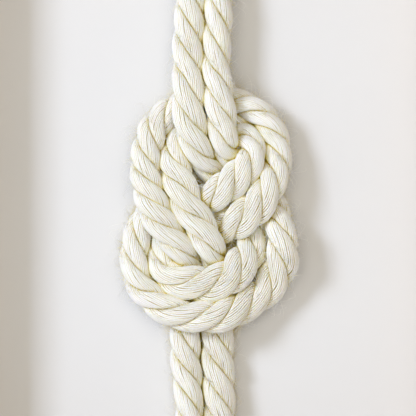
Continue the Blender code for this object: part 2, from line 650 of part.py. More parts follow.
clear_scene()
PARTS = new_collection("sailors_knot_board")
CUTTERS = new_collection("cutters")
build()
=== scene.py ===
"""Looks of the sailor's knot board: laid cotton rope, painted panel, oiled wood, brass and zinc.

Metres, +Z up, front towards -Y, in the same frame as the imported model.
"""

from math import asin, atan2, ceil, cos, hypot, pi, radians, sin

import bpy
import numpy as np
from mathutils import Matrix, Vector


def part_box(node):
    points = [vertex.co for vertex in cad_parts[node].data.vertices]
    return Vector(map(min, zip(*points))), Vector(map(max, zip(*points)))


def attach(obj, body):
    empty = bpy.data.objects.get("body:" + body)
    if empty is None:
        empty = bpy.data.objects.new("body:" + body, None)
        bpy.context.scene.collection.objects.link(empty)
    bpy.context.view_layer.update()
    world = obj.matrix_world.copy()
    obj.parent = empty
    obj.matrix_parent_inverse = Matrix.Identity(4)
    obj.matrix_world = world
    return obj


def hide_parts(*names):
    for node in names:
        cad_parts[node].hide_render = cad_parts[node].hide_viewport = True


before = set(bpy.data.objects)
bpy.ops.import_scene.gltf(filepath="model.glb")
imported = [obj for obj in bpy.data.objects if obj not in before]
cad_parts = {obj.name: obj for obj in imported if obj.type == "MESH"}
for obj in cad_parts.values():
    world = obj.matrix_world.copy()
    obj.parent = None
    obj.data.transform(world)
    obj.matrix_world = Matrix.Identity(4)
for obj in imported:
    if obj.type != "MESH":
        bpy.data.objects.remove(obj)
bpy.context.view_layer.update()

MM = 0.001

# The photograph's size, the pixel at the knot's middle, a pixel's size there, and the camera
PHOTO_SIZE = 416
KNOT_PIXEL = (202.5, 212.0)
PIXEL = 0.4444 * MM
CAMERA_DISTANCE = 2.5
CAMERA_NEAR = 0.1
CAMERA_FAR = 50.0
SENSOR_WIDTH = 36.0

# The main lamp, whose shadows go across and down the panel for each unit of depth, and the room
SHADOW_ACROSS = 1.0
SHADOW_DOWN = 0.5
LAMP_DISTANCE = 3.0
LAMP_SIZE = 0.75
LAMP_POWER = 61.0
LAMP_COLOUR = (0.765, 0.834, 0.977)
WORLD_COLOUR = (0.35, 0.32, 0.275)
WORLD_STRENGTH = 0.82

# The pale backdrop, which the floor turns into away from the board
BACKDROP_COLOUR = (0.80, 0.80, 0.79)
FLOOR_COLOURS = ((0.80, 0.80, 0.79), (0.84, 0.84, 0.83))
FLOOR_ROUGHNESS = 0.8
FLOOR_CLOUDS = 3.0
FLOOR_REACH = 6.0
FLOOR_DROP = 0.2 * MM
FLOOR_FADE = ((0.08, (0.0, 0.0, 0.0)), (0.45, (1.0, 1.0, 1.0)))

# A wide soft lamp before the board, and one behind it for the back
FILL_DISTANCE = 2.4
FILL_SIZE = 2.0
FILL_WAY = (0.0, -1.0, 0.05)
FILL_POWER = 26.0
FILL_COLOUR = (1.0, 0.94, 0.80)
BACK_WAY = (0.4, 1.0, 0.5)
BACK_POWER = 40.0
BACK_COLOUR = (1.0, 1.0, 1.0)

# In the materials below, a noise is its scale, then its detail and roughness where they aren't
# the usual ones. A bump is its depth and its strength. A roughness that varies is how much of a
# noise is added, and to what.

# Cotton: two pale tones in blotches, what the dullest yarn multiplies them by, the painted shade
# in the grooves between yarns, and the painted golden shade that multiplies the colour between the
# ropes
COTTON_PALE = ((0.975, 0.965, 0.92), (0.985, 0.98, 0.95))
COTTON_DULL = (0.96, 0.955, 0.945)
COTTON_GROOVE_SHADE = (0.69, 0.64, 0.46)
COTTON_CREVICE_SHADE = (1.0, 0.84, 0.08)
COTTON_BLOTCHES = 90.0
COTTON_PATCHES = (110.0, 2.0)
COTTON_GROOVE_SHADE_PATCHES = ((0.38, (0.45,) * 3), (0.60, (1.0,) * 3))
# How sharply the painted shade gathers on each yarn's flanks
SEAM_SHADE_POWER = 2.0
FIBRE_RIDGES = 3
FIBRE_SLANT = 0.55
FIBRE_WANDER = 1.6
FIBRE_SHADE = 0.06
FLUFF = (2600.0, 4.0)
FLUFF_SHADE = 0.16
BASE_SHADE = 0.935
FIBRE_HEIGHT = 0.5
COTTON_BUMP = (0.05 * MM, 0.6)
COTTON_SURFACE = {
    "Roughness": 0.95,
    "Specular IOR Level": 0.2,
    "Sheen Weight": 0.05,
    "Sheen Roughness": 0.6,
    "Subsurface Weight": 0.35,
    "Subsurface Radius": (1.0, 0.8, 0.5),
    "Subsurface Scale": 0.4 * MM,
}

# How far the painted crevice shade looks for shutting-in, and the open share of the sky where the shade
# is full and where it ends
ROPE_CREVICE_SHADE = (5.0 * MM, 0.14, 0.36)
PANEL_CREVICE_SHADE = (14.0 * MM, 0.25, 0.45)
CREVICE_SAMPLES = 8

# The panel's paint, with painted golden shade where the ropes shut it in
PAINT_WHITES = ((0.79, 0.79, 0.795), (0.81, 0.81, 0.815))
PAINT_CREVICE_SHADE = (0.88, 0.68, 0.10)
PAINT_CLOUDS = 9.0
PAINT_STIPPLE = 1400.0
PAINT_BUMP = (0.04 * MM, 0.35)
PAINT_SURFACE = {"Roughness": 0.75, "Specular IOR Level": 0.25}

# Oiled oak: wavy bands that a noise warps, fine grain and dark pores, stretched along the rail
OAK_WARP = (48.0, 5.0)
OAK_WARP_SHARE = 0.6
OAK_RINGS = {"Scale": 44.0, "Distortion": 5.0, "Detail": 4.0, "Detail Scale": 1.2}
OAK_GRAIN_NOISE = (420.0, 5.0, 0.65)
OAK_PORE_NOISE = (1500.0, 2.0)
OAK_PORE_SHARE = 0.8
OAK_PORE_HEIGHT = 0.6
OAK_ROUGHNESS = (0.18, 0.44)
OAK_BUMP = (0.12 * MM, 0.5)
OAK_BANDS = ((0.25, (0.54, 0.39, 0.24)), (0.5, (0.64, 0.48, 0.31)), (0.8, (0.70, 0.55, 0.37)))
OAK_GRAIN = ((0.35, (0.80,) * 3), (0.6, (1.0,) * 3))
OAK_PORES = ((0.30, (0.62, 0.56, 0.50)), (0.40, (1.0,) * 3))
OAK_STRETCH = 0.06

# Hardboard
HARDBOARD_COLOURS = ((0.23, 0.135, 0.075), (0.30, 0.185, 0.105))
HARDBOARD_FLECKS = ((0.36, (0.80,) * 3), (0.66, (1.10,) * 3))
HARDBOARD_FELT = (1300.0, 5.0, 0.7)
HARDBOARD_CLOUDS = (11.0, 5.0, 0.6)
HARDBOARD_CHIPS = (850.0, 4.0, 0.7)
HARDBOARD_CHIP_STRETCH = (1.0, 1.0, 0.6)
HARDBOARD_ROUGHNESS = (0.25, 0.5)
HARDBOARD_BUMP = (0.05 * MM, 0.5)

# Metals and rubber
METAL_CLOUDS = (180.0, 4.0)
METAL_SCRATCHES = (3000.0, 2.0)
METAL_SCRATCH_STRETCH = (1.0, 1.0, 0.05)
METAL_CLOUD_WEAR = 0.14
METAL_SCRATCH_WEAR = 0.12
METAL_POLISH = 0.10
METAL_BUMP = (0.01 * MM, 0.5)
BRASS_LIGHT = (0.78, 0.58, 0.28)
BRASS_DARK = (0.62, 0.43, 0.18)
BRASS_ROUGHNESS = 0.34
ZINC_LIGHT = (0.62, 0.63, 0.65)
ZINC_DARK = (0.47, 0.48, 0.50)
ZINC_ROUGHNESS = 0.36
RUBBER_COLOURS = ((0.035, 0.035, 0.036), (0.07, 0.07, 0.068))
RUBBER_GRAIN = (2200.0, 3.0)
RUBBER_DUST = (300.0, 4.0)
RUBBER_ROUGHNESS = (0.2, 0.65)
RUBBER_BUMP = (0.04 * MM, 0.5)

# The rope: its size, how much wider, thicker and higher its strands lie than the plain tube
# that they replace, its pockets in the rails, the step between its rings, and its lay
ROPE_DIAMETER = 12.0 * MM
ROPE_PAIR_SPACE = 0.8 * MM
ROPE_WIDEN = 1.08
ROPE_THICKEN = 1.05
ROUTE_LIFT = 0.55 * MM
POCKET_DEPTH = 10.0 * MM
POCKET_FLOOR = 2.3 * MM
POCKET_END_GAP = 0.3 * MM
RING_SPACING = 1.3 * MM
LAY_STEP = 13.7
LAY_EXTRA = 6
LAY_EASE = 7
STRANDS = 3
YARNS = 25
YARN_RADIUS = 0.46 * MM
YARN_SIDES = 6
YARN_TURN = 1.45
YARN_SHIFT = 0.07
START_SHARE = 0.5
CORE_SIDES = 12
CORE_RADIUS = 2.1 * MM
# How much painted groove shade darkens the strands' cores
CORE_GROOVE_SHADE = 0.8
OUTWARD_STEP = 0.1
# Where in the lay the painted groove shade starts, and over how much of the radius it grows to full
GROOVE_TOP = 0.86
GROOVE_DEPTH = 0.35

# Waves along a yarn: their lengths, and their heights as shares of a turn, of its distance
# from the strand's middle, and of its thickness
TURN_WAVES = ((23 * MM, 9 * MM), (0.004, 0.0015))
RAISE_WAVES = ((31 * MM, 12 * MM, 5 * MM), (0.008, 0.005, 0.003))
SIZE_WAVES = ((27 * MM, 7 * MM), (0.05, 0.03))

# Loose fibres: how long they are, how far they lift and sway for their length, and how near
# another stretch of rope their tips may come
HAIRS = 6500
HAIR_RADIUS = 0.085 * MM
HAIR_TAPER = 0.4
HAIR_POINTS = 5
HAIR_SIDES = 3
HAIR_LENGTHS = (1.5, 6.5)
HAIR_LIFTS = (0.2, 1.3)
HAIR_CURLS = (0.5, 0.9)
HAIR_SWAY = 0.5
HAIR_ROOT = 0.2 * MM
HAIR_SPREAD = 0.2
HAIR_ENDS = (12, 20)
HAIR_OWN_RUN = 16.0 * MM
HAIR_CLEARANCE = 7.8 * MM

# The rows that a tube takes on the map for a bake, and the margins around each
BAKE_ROWS = 3
BAKE_MARGIN = 0.06
BAKE_END = 0.992
BAKE_CAP_WIDTH = 0.4
BAKE_CAP_HEIGHT = 0.3

# Seeds of the random draws
LEFT_SEED = 11
RIGHT_SEED = 23

# A strand's section as shares of the rope's radius: a third of a disc with rounded corners
STRAND_MIDDLE = 0.56
STRAND_CORNER = 0.34
STRAND_BULGE = 0.68
CROWN_POINTS = 40
SIDE_POINTS = 30
APEX_POINTS = 12

# The rope's route: across and up from the knot's middle, height over the panel, all in mm,
# then the width over the rope's diameter and the section's area over the free rope's
LEFT_ROUTE = (
    (-5.5, 92.0, 11.0, 1.00, 0.97), (-6.4, 74.2, 11.6, 1.05, 0.93), (-6.5, 62.2, 12.4, 1.05, 0.90),
    (-6.5, 55.6, 14.8, 1.07, 0.86), (-6.3, 48.9, 15.3, 1.10, 0.80), (-5.3, 37.8, 15.2, 1.11, 0.80),
    (-2.7, 29.8, 13.4, 1.00, 0.80), (0.2, 23.1, 9.4, 0.89, 0.76), (4.9, 17.3, 5.3, 0.89, 0.74),
    (12.1, 9.1, 4.8, 0.90, 0.74), (19.0, 0.0, 4.8, 0.93, 0.76), (22.9, -9.0, 5.2, 0.95, 0.77),
    (21.3, -16.3, 8.2, 1.08, 0.78), (17.2, -23.3, 13.2, 1.22, 0.78), (11.7, -29.0, 14.6, 1.23, 0.78),
    (3.9, -31.8, 14.4, 1.27, 0.78), (-4.2, -31.9, 14.3, 1.22, 0.78), (-12.0, -30.2, 13.0, 1.10, 0.78),
    (-17.3, -25.8, 9.2, 0.98, 0.78), (-18.4, -20.3, 6.0, 0.92, 0.77), (-17.6, -15.1, 4.7, 0.97, 0.76),
    (-14.2, -9.9, 4.4, 1.00, 0.75), (-7.3, -7.9, 4.4, 0.98, 0.75), (0.2, -7.9, 4.5, 1.07, 0.75),
    (6.0, -7.3, 5.0, 1.15, 0.76), (11.1, -6.2, 8.4, 1.19, 0.76), (15.6, -4.1, 13.0, 1.22, 0.78),
    (20.1, -0.9, 14.2, 1.25, 0.80), (25.0, 3.8, 14.6, 1.18, 0.80), (29.7, 11.2, 14.4, 1.05, 0.80),
    (33.0, 20.3, 10.2, 0.98, 0.86), (33.3, 29.6, 8.2, 0.92, 0.88), (29.5, 39.3, 8.0, 0.91, 0.90),
    (21.0, 46.9, 7.2, 0.90, 0.88), (12.4, 49.6, 5.3, 0.92, 0.80), (3.2, 50.0, 4.9, 0.95, 0.80),
    (-5.5, 49.3, 4.9, 0.96, 0.80), (-12.3, 46.4, 5.4, 0.96, 0.82), (-17.4, 42.6, 6.8, 0.96, 0.88),
    (-21.4, 37.4, 7.8, 1.02, 0.90), (-24.0, 31.3, 8.8, 1.02, 0.90), (-25.3, 24.4, 9.8, 1.02, 0.90),
    (-25.4, 17.8, 11.0, 1.04, 0.88), (-24.5, 11.4, 12.6, 1.05, 0.86), (-22.6, 4.8, 14.2, 1.10, 0.84),
    (-19.6, -2.6, 14.6, 1.11, 0.80), (-15.6, -8.9, 14.2, 1.04, 0.80), (-12.2, -12.9, 13.6, 1.00, 0.78),
    (-8.5, -17.5, 11.2, 0.92, 0.78), (-6.1, -21.8, 6.6, 0.92, 0.78), (-5.5, -26.7, 5.0, 0.98, 0.80),
    (-5.8, -32.0, 4.8, 1.02, 0.82), (-6.4, -39.1, 4.9, 1.04, 0.82), (-6.9, -48.0, 4.9, 1.04, 0.82),
    (-7.7, -55.6, 5.7, 1.04, 0.90), (-7.6, -64.9, 5.7, 1.03, 0.95), (-6.4, -77.8, 6.0, 0.98, 0.97),
    (-5.8, -92.0, 7.0, 0.94, 0.97),
)
RIGHT_ROUTE = (
    (7.2, 92.0, 11.0, 0.96, 0.95), (6.4, 74.2, 11.6, 0.96, 0.93), (6.1, 62.2, 12.4, 0.96, 0.90),
    (6.9, 55.6, 14.6, 0.98, 0.84), (7.5, 48.9, 15.4, 1.02, 0.80), (8.9, 37.8, 15.0, 1.02, 0.78),
    (9.6, 32.0, 13.7, 0.92, 0.78), (11.1, 26.9, 8.7, 0.87, 0.76), (15.4, 22.0, 5.2, 0.87, 0.73),
    (22.0, 15.6, 4.8, 0.90, 0.74), (28.3, 8.0, 4.8, 0.92, 0.78), (32.5, 0.4, 5.9, 0.95, 0.84),
    (34.4, -7.6, 11.0, 0.98, 0.86), (35.6, -15.2, 13.2, 1.06, 0.88), (35.4, -22.2, 11.2, 1.13, 0.88),
    (32.5, -28.5, 8.8, 1.14, 0.88), (28.1, -34.8, 8.0, 1.13, 0.86), (21.5, -39.7, 9.4, 1.12, 0.84),
    (14.5, -43.8, 12.9, 1.12, 0.82), (6.9, -46.3, 14.8, 1.11, 0.80), (-1.1, -46.4, 14.8, 1.07, 0.80),
    (-9.1, -45.8, 14.8, 1.04, 0.80), (-16.5, -43.0, 13.0, 1.04, 0.84), (-22.1, -38.7, 11.2, 1.00, 0.86),
    (-27.1, -33.7, 9.4, 0.97, 0.88), (-29.5, -27.8, 8.2, 0.95, 0.90), (-30.4, -21.8, 7.0, 0.96, 0.90),
    (-30.2, -16.0, 6.0, 0.97, 0.88), (-28.9, -10.2, 5.3, 0.97, 0.84), (-25.9, -3.8, 4.8, 1.00, 0.80),
    (-20.0, 1.3, 4.6, 1.00, 0.76), (-13.1, 3.7, 4.6, 0.98, 0.76), (-7.3, 4.6, 4.6, 0.98, 0.76),
    (-2.4, 5.0, 5.1, 1.05, 0.76), (2.2, 5.8, 8.7, 1.04, 0.74), (6.2, 7.8, 13.2, 1.07, 0.76),
    (10.0, 10.8, 14.5, 1.15, 0.78), (14.4, 14.5, 14.6, 1.15, 0.78), (19.0, 19.3, 14.6, 1.08, 0.78),
    (22.0, 24.5, 13.6, 0.94, 0.80), (21.7, 30.2, 10.2, 0.88, 0.82), (18.5, 35.0, 6.2, 0.90, 0.82),
    (13.4, 37.8, 5.0, 0.90, 0.77), (6.0, 38.1, 4.8, 0.95, 0.80), (-1.6, 37.5, 4.8, 0.96, 0.80),
    (-7.6, 34.9, 4.9, 0.96, 0.80), (-11.4, 29.8, 6.2, 0.96, 0.83), (-12.8, 23.8, 8.8, 1.00, 0.86),
    (-11.8, 17.8, 11.4, 1.10, 0.84), (-9.6, 11.3, 14.0, 1.13, 0.80), (-6.9, 3.2, 14.7, 1.11, 0.78),
    (-2.3, -4.0, 14.5, 1.11, 0.78), (1.5, -10.9, 14.0, 1.07, 0.78), (3.7, -16.0, 12.4, 0.97, 0.78),
    (5.5, -20.3, 7.9, 0.92, 0.78), (6.7, -24.8, 5.2, 0.97, 0.80), (7.5, -30.7, 4.8, 1.02, 0.82),
    (7.3, -39.1, 4.9, 1.07, 0.82), (6.9, -48.0, 4.9, 1.08, 0.82), (6.7, -55.6, 5.8, 1.08, 0.92),
    (6.9, -64.9, 5.6, 1.09, 0.95), (7.3, -78.2, 5.7, 1.08, 0.97), (7.6, -92.0, 6.2, 1.05, 0.97),
)

# Where a groove between two strands crosses the front of each rope, in mm along it
LEFT_MARKS = (
    53.2, 65.8, 80.8, 95.9, 110.7, 124.5, 138.0, 151.8, 164.9, 175.3, 189.8, 203.3, 218.6, 231.4,
    245.2, 258.9, 270.4, 283.2, 294.7, 305.2, 316.8, 327.4, 339.1, 350.7, 362.4, 372.9, 383.0,
    392.6, 403.8, 413.1, 423.7, 439.4, 454.1, 468.8, 483.5, 496.1, 508.7,
)
RIGHT_MARKS = (
    48.1, 61.9, 75.4, 90.4, 104.4, 117.6, 130.9, 144.1, 157.8, 171.6, 184.3, 198.0, 211.3, 222.9,
    238.2, 250.3, 263.4, 276.4, 287.8, 299.6, 311.4, 323.0, 334.4, 343.5, 355.9, 367.9, 379.8,
    391.8, 403.4, 414.1, 429.1, 444.3, 459.1, 474.1, 488.9, 502.1, 514.9,
)

# Places that follow from the frame
PANEL_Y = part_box("knot_panel")[0][1]
OPENING_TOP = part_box("rail_top")[0][2]
OPENING_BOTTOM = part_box("rail_bottom")[1][2]
CENTRE_Z = (OPENING_TOP + OPENING_BOTTOM) / 2


# Small helpers for node materials
def new_material(name):
    material = bpy.data.materials.new(name)
    material.use_nodes = True
    tree = material.node_tree
    shader = tree.nodes["Principled BSDF"]
    return material, tree, shader


def add_node(tree, kind, **settings):
    node = tree.nodes.new(kind)
    for name, value in settings.items():
        if name in node.inputs:
            node.inputs[name].default_value = value
        else:
            setattr(node, name, value)
    return node


def link(tree, source, target):
    tree.links.new(source, target)


def set_surface(shader, values):
    for name, value in values.items():
        shader.inputs[name].default_value = value


def vary_roughness(tree, shader, value, share, start):
    roughness = math_node(tree, "MULTIPLY_ADD", value, share, start)
    link(tree, roughness, shader.inputs["Roughness"])


def math_node(tree, operation, first, second=0.0, third=0.0):
    node = tree.nodes.new("ShaderNodeMath")
    node.operation = operation
    for socket, value in zip(node.inputs, (first, second, third)):
        if isinstance(value, (int, float)):
            socket.default_value = value
        else:
            link(tree, value, socket)
    return node.outputs[0]


def mix_colour(tree, share, first, second, blend="MIX"):
    node = tree.nodes.new("ShaderNodeMix")
    node.data_type = "RGBA"
    node.blend_type = blend
    for socket, value in ((node.inputs[0], share), (node.inputs[6], first), (node.inputs[7], second)):
        if isinstance(value, (int, float)):
            socket.default_value = value
        elif isinstance(value, tuple):
            socket.default_value = (*value, 1.0)
        else:
            link(tree, value, socket)
    return node.outputs[2]


def ramp(tree, value, *stops):
    node = tree.nodes.new("ShaderNodeValToRGB")
    elements = node.color_ramp.elements
    while len(elements) < len(stops):
        elements.new(0.5)
    for element, (place, colour) in zip(elements, stops):
        element.position = place
        element.color = (*colour, 1.0)
    link(tree, value, node.inputs[0])
    return node.outputs[0]


def object_place(tree, scale=(1, 1, 1)):
    source = tree.nodes.new("ShaderNodeTexCoord")
    mapping = add_node(tree, "ShaderNodeMapping")
    mapping.inputs["Scale"].default_value = scale
    link(tree, source.outputs["Object"], mapping.inputs["Vector"])
    return mapping.outputs[0]


def noise(tree, place, scale, detail=3.0, roughness=0.55):
    node = add_node(tree, "ShaderNodeTexNoise", Scale=scale, Detail=detail, Roughness=roughness)
    link(tree, place, node.inputs["Vector"])
    return node.outputs["Fac"]


def bump(tree, shader, height, distance, strength):
    node = add_node(tree, "ShaderNodeBump", Strength=strength, Distance=distance)
    link(tree, height, node.inputs["Height"])
    link(tree, node.outputs[0], shader.inputs["Normal"])


def crevice_shade_mask(tree, reach, shut, clear):
    """The mask for painted shade, from how far a place is shut in: 1 deep between the ropes, 0 in the
    open.
    """
    node = add_node(tree, "ShaderNodeAmbientOcclusion", Distance=reach)
    node.samples = CREVICE_SAMPLES
    return ramp(tree, node.outputs["AO"], (shut, (1.0,) * 3), (clear, (0.0,) * 3))


# Materials
def cotton_material():
    """Cream yarn with fine twisted fibres, and painted shade: warm and darker deep in the lay and on
    the yarns' flanks, golden between the ropes, so paler on the crowns.
    """
    material, tree, shader = new_material("cotton_yarn")
    # Painted shade masks: deep in the lay, and on each yarn's flanks
    groove_shade = add_node(tree, "ShaderNodeAttribute", attribute_name="groove_shade").outputs["Fac"]
    tone = add_node(tree, "ShaderNodeAttribute", attribute_name="tone").outputs["Fac"]
    flank_shade = add_node(tree, "ShaderNodeAttribute", attribute_name="flank_shade").outputs["Fac"]
    seam_shade = math_node(tree, "POWER", flank_shade, SEAM_SHADE_POWER)
    uv = add_node(tree, "ShaderNodeUVMap", uv_map="yarn")
    parts = add_node(tree, "ShaderNodeSeparateXYZ")
    link(tree, uv.outputs[0], parts.inputs[0])
    rough_place = object_place(tree)
    blotch = noise(tree, rough_place, COTTON_BLOTCHES)
    fibre_turn = math_node(tree, "MULTIPLY_ADD", blotch, FIBRE_WANDER, parts.outputs["X"])
    fibre_phase = math_node(tree, "MULTIPLY_ADD", parts.outputs["Y"], FIBRE_SLANT, fibre_turn)
    fibre_angle = math_node(tree, "MULTIPLY", fibre_phase, 2 * pi * FIBRE_RIDGES)
    fibre = math_node(tree, "SINE", fibre_angle)
    fluff = noise(tree, object_place(tree), *FLUFF)
    pale = mix_colour(tree, blotch, *COTTON_PALE)
    dull = mix_colour(tree, 1.0, pale, COTTON_DULL, "MULTIPLY")
    toned = mix_colour(tree, tone, dull, pale)
    patches = noise(tree, rough_place, *COTTON_PATCHES)
    groove_shade_patches = ramp(tree, patches, *COTTON_GROOVE_SHADE_PATCHES)
    groove_shade_seen = math_node(tree, "MULTIPLY", groove_shade, groove_shade_patches)
    painted_shade = math_node(tree, "MAXIMUM", groove_shade_seen, seam_shade)
    deep = mix_colour(tree, painted_shade, toned, COTTON_GROOVE_SHADE)
    soft = math_node(tree, "MULTIPLY", fluff, FLUFF_SHADE)
    fine = math_node(tree, "MULTIPLY_ADD", fibre, FIBRE_SHADE, soft)
    shade = math_node(tree, "ADD", fine, BASE_SHADE)
    grey = add_node(tree, "ShaderNodeCombineColor")
    for socket in grey.inputs[:3]:
        link(tree, shade, socket)
    colour = mix_colour(tree, 1.0, deep, grey.outputs[0], "MULTIPLY")
    # Painted golden shade where the ropes shut the yarn in
    crevice_shade = crevice_shade_mask(tree, *ROPE_CREVICE_SHADE)
    golden_shaded = mix_colour(tree, 1.0, colour, COTTON_CREVICE_SHADE, "MULTIPLY")
    colour = mix_colour(tree, crevice_shade, colour, golden_shaded)
    link(tree, colour, shader.inputs["Base Color"])
    set_surface(shader, COTTON_SURFACE)
    height = math_node(tree, "MULTIPLY_ADD", fibre, FIBRE_HEIGHT, fluff)
    bump(tree, shader, height, *COTTON_BUMP)
    return material


def paint_material():
    """White paint with a faint stipple, and painted golden shade where the ropes shut it in."""
    material, tree, shader = new_material("white_wall_paint")
    place = object_place(tree)
    clouds = noise(tree, place, PAINT_CLOUDS)
    stipple = noise(tree, place, PAINT_STIPPLE)
    white = mix_colour(tree, clouds, *PAINT_WHITES)
    # Painted golden shade where the ropes shut the panel in
    colour = mix_colour(tree, crevice_shade_mask(tree, *PANEL_CREVICE_SHADE), white, PAINT_CREVICE_SHADE)
    link(tree, colour, shader.inputs["Base Color"])
    set_surface(shader, PAINT_SURFACE)
    bump(tree, shader, stipple, *PAINT_BUMP)
    return material


def wood_material(name, along):
    """Pale oiled oak, its grain along one of the axes."""
    material, tree, shader = new_material(name)
    stretch = [1.0, 1.0, 1.0]
    stretch[along] = OAK_STRETCH
    place = object_place(tree, tuple(stretch))
    warp = noise(tree, place, *OAK_WARP)
    rings = add_node(tree, "ShaderNodeTexWave", **OAK_RINGS)
    rings.bands_direction = "Y"
    link(tree, place, rings.inputs["Vector"])
    grain = noise(tree, place, *OAK_GRAIN_NOISE)
    pores = noise(tree, place, *OAK_PORE_NOISE)
    ring_part = math_node(tree, "MULTIPLY", rings.outputs["Fac"], 1 - OAK_WARP_SHARE)
    band = math_node(tree, "MULTIPLY_ADD", warp, OAK_WARP_SHARE, ring_part)
    base = ramp(tree, band, *OAK_BANDS)
    fine = ramp(tree, grain, *OAK_GRAIN)
    grained = mix_colour(tree, 1.0, base, fine, "MULTIPLY")
    pore = ramp(tree, pores, *OAK_PORES)
    pored = mix_colour(tree, 1.0, grained, pore, "MULTIPLY")
    colour = mix_colour(tree, OAK_PORE_SHARE, grained, pored)
    link(tree, colour, shader.inputs["Base Color"])
    vary_roughness(tree, shader, grain, *OAK_ROUGHNESS)
    height = math_node(tree, "MULTIPLY_ADD", pores, OAK_PORE_HEIGHT, grain)
    bump(tree, shader, height, *OAK_BUMP)
    return material


def hardboard_material():
    """Pressed brown fibre, with fine pale and dark flecks."""
    material, tree, shader = new_material("brown_hardboard")
    place = object_place(tree)
    felt = noise(tree, place, *HARDBOARD_FELT)
    clouds = noise(tree, place, *HARDBOARD_CLOUDS)
    chips = noise(tree, object_place(tree, HARDBOARD_CHIP_STRETCH), *HARDBOARD_CHIPS)
    base = mix_colour(tree, clouds, *HARDBOARD_COLOURS)
    flecks = ramp(tree, chips, *HARDBOARD_FLECKS)
    colour = mix_colour(tree, 1.0, base, flecks, "MULTIPLY")
    link(tree, colour, shader.inputs["Base Color"])
    vary_roughness(tree, shader, felt, *HARDBOARD_ROUGHNESS)
    bump(tree, shader, felt, *HARDBOARD_BUMP)
    return material


def metal_material(name, light, dark, roughness):
    """Satin metal, in clouds of two tones, with fine upright scratches."""
    material, tree, shader = new_material(name)
    place = object_place(tree)
    clouds = noise(tree, place, *METAL_CLOUDS)
    scratches = noise(tree, object_place(tree, METAL_SCRATCH_STRETCH), *METAL_SCRATCHES)
    colour = mix_colour(tree, clouds, dark, light)
    link(tree, colour, shader.inputs["Base Color"])
    shader.inputs["Metallic"].default_value = 1.0
    smooth = roughness - METAL_POLISH
    wear = math_node(tree, "MULTIPLY_ADD", scratches, METAL_SCRATCH_WEAR, smooth)
    vary_roughness(tree, shader, clouds, METAL_CLOUD_WEAR, wear)
    bump(tree, shader, scratches, *METAL_BUMP)
    return material


def rubber_material():
    """Black rubber with a little pale dust."""
    material, tree, shader = new_material("black_rubber")
    place = object_place(tree)
    grain = noise(tree, place, *RUBBER_GRAIN)
    dust = noise(tree, place, *RUBBER_DUST)
    colour = mix_colour(tree, dust, *RUBBER_COLOURS)
    link(tree, colour, shader.inputs["Base Color"])
    vary_roughness(tree, shader, grain, *RUBBER_ROUGHNESS)
    bump(tree, shader, grain, *RUBBER_BUMP)
    return material


# The rope's way through the knot
def whole_route(route, sign):
    """The chosen points in metres, with the straight runs into both rails' pockets."""
    rows = [
        (across * MM, up * MM, ROUTE_LIFT + height * MM, width * ROPE_DIAMETER, fullness)
        for across, up, height, width, fullness in route
    ]
    across = sign * (ROPE_DIAMETER + ROPE_PAIR_SPACE) / 2
    mouth = (OPENING_TOP - OPENING_BOTTOM) / 2
    end = mouth + POCKET_DEPTH - POCKET_END_GAP
    height = POCKET_FLOOR + ROPE_DIAMETER / 2
    start_rows = [(across, up, height, ROPE_DIAMETER, 1.0) for up in (end, mouth)]
    end_rows = [(across, -up, height, ROPE_DIAMETER, 1.0) for up in (mouth, end)]
    return np.array(start_rows + rows + end_rows)


def smooth_route(rows):
    """Rings along a smooth curve that passes through each of the route's points."""
    chords = np.linalg.norm(np.diff(rows[:, :2], axis=0), axis=1)
    slopes = np.diff(rows, axis=0) / chords[:, None]
    tangents = np.vstack([slopes[:1], slopes[1:], slopes[-1:]])
    weights = chords[:-1, None] + chords[1:, None]
    tangents[1:-1] = (slopes[:-1] * chords[1:, None] + slopes[1:] * chords[:-1, None]) / weights
    rings = []
    for index, chord in enumerate(chords):
        steps = max(2, ceil(chord / RING_SPACING))
        for share in np.arange(steps) / steps:
            rings.append(
                (2 * share**3 - 3 * share**2 + 1) * rows[index]
                + (share**3 - 2 * share**2 + share) * chord * tangents[index]
                + (3 * share**2 - 2 * share**3) * rows[index + 1]
                + (share**3 - share**2) * chord * tangents[index + 1]
            )
    rings.append(rows[-1])
    return np.array(rings)


def evenly_spaced(rings):
    """The same rings, at even steps along the rope, and their distance along it."""
    steps = np.linalg.norm(np.diff(rings[:, :3], axis=0), axis=1)
    run = np.concatenate([[0.0], np.cumsum(steps)])
    even = np.linspace(0.0, run[-1], ceil(run[-1] / RING_SPACING) + 1)
    return np.stack([np.interp(even, run, column) for column in rings.T], axis=1), even


def rope_sections(rings):
    """Each ring's centre, the directions across and up its oval, and its two radii."""
    centres = np.stack([rings[:, 0], PANEL_Y - rings[:, 2], CENTRE_Z + rings[:, 1]], axis=1)
    along = unit(np.gradient(centres, axis=0))
    across = unit(np.stack([along[:, 2], np.zeros(len(along)), -along[:, 0]], axis=1))
    up = np.cross(along, across)
    half_width = rings[:, 3] / 2
    half_thickness = rings[:, 4] * ROPE_DIAMETER**2 / 4 / half_width
    return centres, across, up, half_width * ROPE_WIDEN, half_thickness * ROPE_THICKEN


def unit(vectors):
    return vectors / (np.linalg.norm(vectors, axis=-1, keepdims=True) + 1e-12)


def wander(random, run, lengths, heights):
    """A slow random wave along the rope."""
    wave = np.zeros_like(run)
    for length, height in zip(lengths, heights):
        wave += height * np.sin(2 * pi * run / length + random.uniform(0, 2 * pi))
    return wave


def arc(centre, radius, start, end, count):
    """Points along an arc, from one angle to another."""
    return [
        (centre[0] + radius * cos(angle), centre[1] + radius * sin(angle))
        for angle in np.linspace(start, end, count)
    ]


